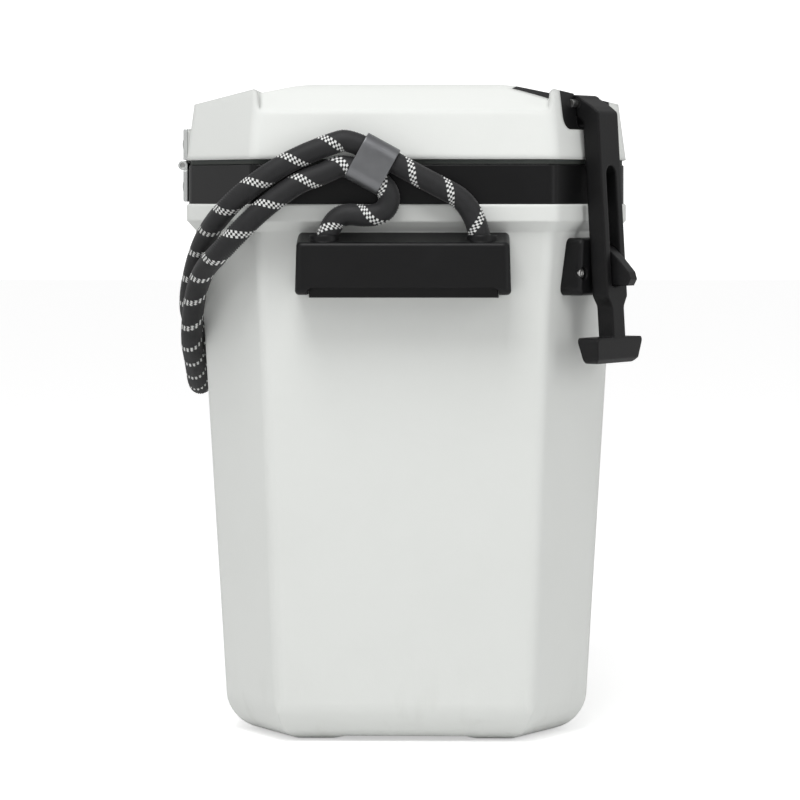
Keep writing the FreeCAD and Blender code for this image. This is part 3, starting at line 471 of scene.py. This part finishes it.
def capped(points, faces, tracer, ends):
    """Closes both ends of a tube with a fan to a point, given by ends."""
    wide = 2 * YARNS
    count = len(points)
    ring = np.arange(wide)
    after = (ring + 1) % wide
    low = np.column_stack([np.full(wide, count), after, ring])
    last = count - wide
    high = np.column_stack([np.full(wide, count + 1), last + ring, last + after])
    points = np.concatenate([points, ends])
    return points, np.concatenate([faces, low, high]), np.concatenate([tracer, np.zeros(2 * wide, bool)])


# %% Strands
RING_STEP = LEAD / (2 * YARNS)
for name, route in ROUTES.items():
    path, length = evenly(route, RING_STEP)
    points, faces, tracer = braided(path, np.full(len(path), ROPE_WIDE / 2))
    points, faces, tracer = capped(points, faces, tracer, path[[0, -1]])
    strand = piece("strand_" + name.split("_")[1], points, faces, (YARN, TRACER), tracer)
    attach(strand, "chest")
    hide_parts(name)
    print(name, "length", round(length, 4), "rings", len(path), "triangles", len(faces))

# %% [markdown]
# ## The ropes' ends
# Under each bracket's roof the rope is cut, melted and flattened into a button that can't slip
# back through its hole. It is the same braid with a radius that swells, then rounds off.

# %% Rope ends
BUTTON_WIDE = 18.2 * MM
BUTTON_RINGS = 16
ROUNDS_FROM = 0.72        # share of a button's depth where it starts to round off


def button(centre, low, high):
    """One melted end below a hole: the radius follows a swelling sine, then a quarter circle."""
    share = np.linspace(0.0, 1.0, BUTTON_RINGS)
    drop = high + (low - high) * share
    path = np.column_stack([np.full(BUTTON_RINGS, centre[0]),
                            np.full(BUTTON_RINGS, centre[1]), drop])
    swell = ROPE_WIDE / 2 + (BUTTON_WIDE - ROPE_WIDE) / 2 * np.sin(share * math.pi / 2)
    rounding = np.clip((share - ROUNDS_FROM) / (1.0 - ROUNDS_FROM), 0, 0.93)
    rounded = np.sqrt(np.clip(1.0 - rounding ** 2, 0, 1))
    points, faces, tracer = braided(path, swell * rounded)
    return capped(points, faces, tracer, path[[0, -1]])


for side, sign in (("left", 1), ("right", -1)):
    node = "rope_knots_" + side
    low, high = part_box(node)
    parts = [button((sign * half[0][0] * MM, half[0][1] * MM), low.z + 0.4 * MM, high.z)
             for half in (LOWER_STRAND, UPPER_STRAND)]
    points, faces = joined([part[:2] for part in parts])
    marks = np.concatenate([part[2] for part in parts])
    ends = piece("rope_ends_" + side, points, faces, (YARN, TRACER), marks)
    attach(ends, "chest")
    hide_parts(node)
    print(ends.name, "triangles", len(faces))

# %% [markdown]
# ## Screws
# A screw's head is small, but its socket is what says "screw". Each head is one closed surface
# of revolution whose height also depends on the angle: inside a hexagon it drops to the
# socket's floor. All the screws of one node make one piece, each turned to its own seat.


# %% Screw heads
SHANK = 2.2 * MM


def screw(seat, way, radius, high, shank, socket):
    """Points and faces of a screw: dome and hexagonal socket in front, shank behind.

    The profile runs from the middle of the socket out over the dome, down the side and back
    to the shank's tip. A point's reach in the socket is the hexagon's, socket / cos(a) with a
    measured from the nearest flat's middle.
    """
    turn = np.linspace(0.0, 2 * math.pi, 48, endpoint=False)
    flat = (turn + math.pi / 6) % (math.pi / 3) - math.pi / 6
    hexagon = socket / np.cos(flat)
    floor, rim = high * 0.35, high * 0.97
    profile = [(0.001 * radius + 0 * turn, floor), (0.93 * hexagon, floor),
               (hexagon, floor + 0.1 * high), (hexagon, rim - 0.06 * high), (1.08 * hexagon, rim)]
    dome = np.linspace(0.12, 1.0, 7) * math.pi / 2
    start = 1.08 * socket / math.cos(math.pi / 6)
    profile += [(start + (radius - start) * np.sin(a) + 0 * turn,
                 high * (0.45 + 0.52 * math.cos(a))) for a in dome]
    profile += [(radius + 0 * turn, 0.0), (SHANK + 0 * turn, 0.0), (SHANK + 0 * turn, -shank),
                (0.001 * radius + 0 * turn, -shank)]
    reach = np.stack([p[0] for p in profile])
    rise = np.array([p[1] for p in profile])[:, None] + 0 * turn
    way = Vector(way).normalized()
    side = way.cross(Vector((0, 0, 1))).normalized()
    up = side.cross(way)
    grid = (np.array(seat) + (reach * np.cos(turn))[..., None] * np.array(side)
            + (reach * np.sin(turn))[..., None] * np.array(up) + rise[..., None] * np.array(way))
    rows, wide = reach.shape
    i, j = np.meshgrid(np.arange(rows - 1), np.arange(wide), indexing="ij")
    after = (j + 1) % wide
    faces = np.stack([i * wide + j, (i + 1) * wide + j, (i + 1) * wide + after, i * wide + after], -1)
    points = grid.reshape(-1, 3)
    faces = faces.reshape(-1, 4)
    ends = grid[[0, -1]].mean(axis=1)
    ring = np.arange(wide)
    low = np.column_stack([ring, (ring + 1) % wide, np.full(wide, len(points)), np.full(wide, len(points))])
    last = (rows - 1) * wide
    high_fan = np.column_stack([last + (ring + 1) % wide, last + ring, np.full(wide, len(points) + 1),
                                np.full(wide, len(points) + 1)])
    return np.concatenate([points, ends]), np.concatenate([faces, low, high_fan])


print("screw shank", SHANK)

# %% [markdown]
# ## Where the screws sit
# The places come from the frame. A latch turns on its joint's axis, so the joint gives a point;
# a set angle gives the chamfer's direction, and the keeper's and the mount's screws are so far
# across and out from it, at set heights. The hinge's screws stand in a row between the corners of their own
# node's box.


# %% Screws in their seats
TURN = math.radians(30.0)     # between a corner chamfer and the front
KEEPER_SCREWS_HIGH = 0.327
MOUNT_SCREWS_HIGH = 0.438


def latch_spot(side, across, out, z):
    """A point from a latch's pivot: across the chamfer, outwards from it, and at a height."""
    pivot = Vector(JOINTS[f"latch_{side}_swing"]["pos_m"])
    sign = -1.0 if side == "left" else 1.0
    outward = Vector((sign * math.sin(TURN), -math.cos(TURN), 0.0))
    sideways = Vector((math.cos(TURN), sign * math.sin(TURN), 0.0))
    spot = pivot + outward * out + sideways * across
    spot.z = z
    return spot, outward


def screws(name, node, body, made):
    """One piece of several screws that stands for a CAD node."""
    points, faces = joined(made)
    obj = piece(name, points, faces, (STEEL,))
    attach(obj, body)
    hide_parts(node)
    print(name, "screws", len(made), "faces", len(faces))
    return obj


PAN = (4.0 * MM, 2.4 * MM)    # a pan head's radius and height
keeper_made, mount_made = [], []
for side in ("left", "right"):
    for across in (-21.5 * MM, 21.5 * MM):
        seat, way = latch_spot(side, across, 7.5 * MM, KEEPER_SCREWS_HIGH)
        keeper_made.append(screw(seat, way, *PAN, 12.0 * MM, 1.9 * MM))
    for across in (-8.0 * MM, 8.0 * MM):
        seat, way = latch_spot(side, across, -14.0 * MM, MOUNT_SCREWS_HIGH)
        mount_made.append(screw(seat, way, *PAN, 26.0 * MM, 1.9 * MM))
screws("keeper_screw_set", "keeper_screws", "chest", keeper_made)
screws("mount_screw_set", "latch_mount_screws", "lid", mount_made)

HINGE_HEAD_HIGH = 1.8 * MM
for which, body in (("hinge_screws_body", "chest"), ("hinge_screws_lid", "lid")):
    low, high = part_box(which)
    radius = (high.z - low.z) / 2
    row = [(x, high.y - HINGE_HEAD_HIGH, (low.z + high.z) / 2)
           for x in np.linspace(low.x + radius, high.x - radius, 5)]
    made = [screw(seat, (0, 1, 0), radius, HINGE_HEAD_HIGH, 7.9 * MM, 1.7 * MM) for seat in row]
    screws(which.replace("screws", "screw_row"), which, body, made)

BRACKET_HEAD = (4.0 * MM, 2.2 * MM)
WALL_DRAFT = 0.0594       # how far a screw leans down for each unit outwards
low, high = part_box("handle_screws")
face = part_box("handle_plate_left")[0].x + 0.95 * MM
handle_made = []
for sign in (-1, 1):
    way = (sign, 0.0, -WALL_DRAFT)
    for y in np.linspace(low.y + BRACKET_HEAD[0], high.y - BRACKET_HEAD[0], 3):
        seat = (-sign * face, y, (low.z + high.z) / 2)
        handle_made.append(screw(seat, way, *BRACKET_HEAD, 5.9 * MM, 1.8 * MM))
screws("bracket_screw_set", "handle_screws", "chest", handle_made)

# %% [markdown]
# ## Finishes for the parts that carry over
# Every hard part keeps its shape and gets a finish by what it is made of. A table of name
# beginnings is enough, because left and right pieces share theirs.

# %% Paint the carried parts
FINISHES = {
    "body_shell": WHITE, "lid_shell": LID_WHITE, "body_liner": LINER, "lid_liner": LINER,
    "body_foam": FOAM, "lid_foam": FOAM, "collar": COLLAR, "lid_seal": GASKET,
    "hinge_leaf": HINGE, "hinge_pin": STEEL, "latch_mount": INSERT, "latch_pin": STEEL,
    "latch_bush": INSERT, "latch_strap": RUBBER, "keeper": INSERT, "handle_bracket": INSERT,
    "handle_plate": INSERT, "rope_clip": CLIP,
}
for name, obj in frame["nodes"].items():
    for start, material in FINISHES.items():
        if name.startswith(start):
            obj.data.materials.clear()
            obj.data.materials.append(material)
print("painted", sum(bool(obj.data.materials) for obj in frame["nodes"].values()), "nodes")

# %% [markdown]
# ## A plain studio
# The floor is a wide pale sheet under an even white sky, so that the ground all but vanishes and
# only a soft shadow stays under the feet. Both are brighter to the lens than they are as lights:
# a Light Path node keeps their glow off the chest, which would flatten it. Three broad lights
# shape the chest: a strong one above the near end for the rims and the brackets' roofs, and a
# weaker one on each side so that the corner chamfers fall off gently.

# %% Floor, sky and lights
FLOOR_HALF = 14.0
FLOOR_GLOW = 0.5          # seen by the lens only, so that it doesn't light the chest from below
FLOOR_DROP = 0.0004       # keeps the floor clear of the feet
SKY_LIGHT = 0.55          # what lights the chest
SKY_SEEN = 1.3            # what the lens sees behind it
floor_mesh = bpy.data.meshes.new("floor")
corners = [(-FLOOR_HALF, -FLOOR_HALF, 0), (FLOOR_HALF, -FLOOR_HALF, 0),
           (FLOOR_HALF, FLOOR_HALF, 0), (-FLOOR_HALF, FLOOR_HALF, 0)]
floor_mesh.from_pydata(corners, [], [(0, 1, 2, 3)])
floor = bpy.data.objects.new("floor", floor_mesh)
bpy.context.scene.collection.objects.link(floor)
floor.location.z = -FLOOR_DROP
pale = Finish("floor_white", Base_Color=(0.86, 0.86, 0.86, 1.0), Roughness=0.9, Specular_IOR_Level=0.1,
              Emission_Strength=FLOOR_GLOW)
seen = pale.node("ShaderNodeLightPath", output="Is Camera Ray")
pale.give("Emission Color", pale.blend(seen, (0.0, 0.0, 0.0, 1.0), (1.0, 1.0, 1.0, 1.0)))
floor_mesh.materials.append(pale.material)

scene = bpy.context.scene
scene.view_settings.view_transform = "Standard"
scene.world = bpy.data.worlds.new("sky")
scene.world.use_nodes = True
tree = scene.world.node_tree
sky = tree.nodes["Background"]
sky.inputs["Color"].default_value = (1.0, 1.0, 1.0, 1.0)
ray = tree.nodes.new("ShaderNodeLightPath")
level = tree.nodes.new("ShaderNodeMapRange")
level.inputs["To Min"].default_value = SKY_LIGHT
level.inputs["To Max"].default_value = SKY_SEEN
tree.links.new(ray.outputs["Is Camera Ray"], level.inputs["Value"])
tree.links.new(level.outputs["Result"], sky.inputs["Strength"])


def softbox(name, spot, target, wide, high, power):
    """A rectangular light at spot that faces target."""
    data = bpy.data.lights.new(name, "AREA")
    data.shape = "RECTANGLE"
    data.size = wide
    data.size_y = high
    data.energy = power
    lamp = bpy.data.objects.new(name, data)
    lamp.location = spot
    lamp.rotation_euler = (Vector(target) - Vector(spot)).to_track_quat("-Z", "Y").to_euler()
    bpy.context.scene.collection.objects.link(lamp)


MIDDLE = (0.0, 0.0, 0.25)
softbox("top", (-1.3, 0.3, 2.2), MIDDLE, 1.1, 1.1, 30.0)
softbox("front_side", (-1.6, -2.2, 1.0), MIDDLE, 0.9, 1.6, 9.0)
softbox("back_side", (-1.6, 2.2, 1.2), MIDDLE, 0.9, 1.6, 5.0)
print("studio ready, sky", SKY_LIGHT)
